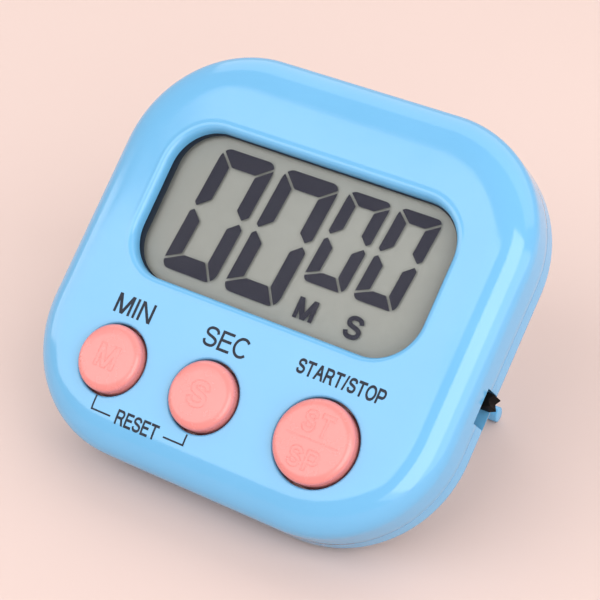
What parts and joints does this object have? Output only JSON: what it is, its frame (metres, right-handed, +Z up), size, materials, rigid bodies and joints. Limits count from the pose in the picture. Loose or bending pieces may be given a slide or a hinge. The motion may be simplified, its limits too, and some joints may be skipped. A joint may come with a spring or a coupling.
{
  "type": "digital kitchen timer",
  "caption": "Rounded-square digital kitchen countdown timer with a recessed display, round push buttons, a side slide switch and a fold-out stand.",
  "frame": {"origin": "middle of the bounding box on the surface the timer stands on, leaning back on its open stand", "axes": "+Z up, -Y towards the user (the face looks along -Y and up), +X to the right of the face"},
  "size_m": [0.0648, 0.0504, 0.0464],
  "materials": {
    "black_plastic": "black moulding",
    "blue_plastic": "glossy light-blue moulding",
    "board_green": "green lacquer on laminate",
    "brass": "bare brass",
    "ceramic_white": "white ceramic, with plastic standing in",
    "clear_glass": "clear",
    "coral_plastic": "satin coral moulding",
    "display_grey": "grey-green display backing",
    "grey_rubber": "soft grey rubber",
    "red_wire": "insulated wire",
    "steel": "plated steel",
    "white_plastic": "white moulding"
  },
  "bodies": {
    "case": {"board_screw_1": "steel", "board_screw_2": "steel", "board_screw_3": "steel", "buzzer_ceramic": "ceramic_white", "buzzer_disc": "brass", "buzzer_wire_a": "black_plastic", "buzzer_wire_b": "red_wire", "capacitor_a": "ceramic_white", "capacitor_b": "ceramic_white", "case_screw_1": "steel", "case_screw_2": "steel", "case_screw_3": "steel", "case_screw_4": "steel", "cell_contact_minus": "steel", "cell_contact_plus": "steel", "cell_holder": "white_plastic", "chip_cover": "black_plastic", "circuit_board": "board_green", "coin_cell": "steel", "contact_strip_bottom": "grey_rubber", "contact_strip_top": "grey_rubber", "crystal": "steel", "display_backplate": "display_grey", "display_frame": "white_plastic", "display_glass": "clear_glass", "front_shell": "blue_plastic", "rear_shell": "blue_plastic", "resistor_a": "black_plastic", "resistor_b": "black_plastic", "rubber_keypad": "grey_rubber", "switch_body": "steel"},
    "stand": {"stand": "blue_plastic"},
    "battery_door": {"battery_door": "blue_plastic"},
    "switch_knob": {"switch_knob": "black_plastic"},
    "min_button": {"min_button": "coral_plastic"},
    "sec_button": {"sec_button": "coral_plastic"},
    "start_stop_button": {"start_stop_button": "coral_plastic"}
  },
  "joints": [
    {"name": "stand_fold", "type": "hinge", "parent": "case", "child": "stand", "pos_m": [-0.00042, 0.0137, 0.02886], "axis": [1, 0, 0], "range_deg": [-55.75, 0]},
    {"name": "battery_door_twist", "type": "hinge", "parent": "case", "child": "battery_door", "pos_m": [-0.00042, 0.00747, 0.02172], "axis": [0, -0.6641, 0.7476], "range_deg": [0, 90]},
    {"name": "power_switch_slide", "type": "slide", "parent": "case", "child": "switch_knob", "axis": [0, -0.7476, -0.6641], "range_m": [0, 0.002]},
    {"name": "min_press", "type": "slide", "parent": "case", "child": "min_button", "axis": [0, 0.6641, -0.7476], "range_m": [0, 0.0008], "stiffness_N_per_m": 600, "springref_m": -0.0005},
    {"name": "sec_press", "type": "slide", "parent": "case", "child": "sec_button", "axis": [0, 0.6641, -0.7476], "range_m": [0, 0.0008], "stiffness_N_per_m": 600, "springref_m": -0.0005},
    {"name": "start_stop_press", "type": "slide", "parent": "case", "child": "start_stop_button", "axis": [0, 0.6641, -0.7476], "range_m": [0, 0.0008], "stiffness_N_per_m": 600, "springref_m": -0.0005}
  ]
}
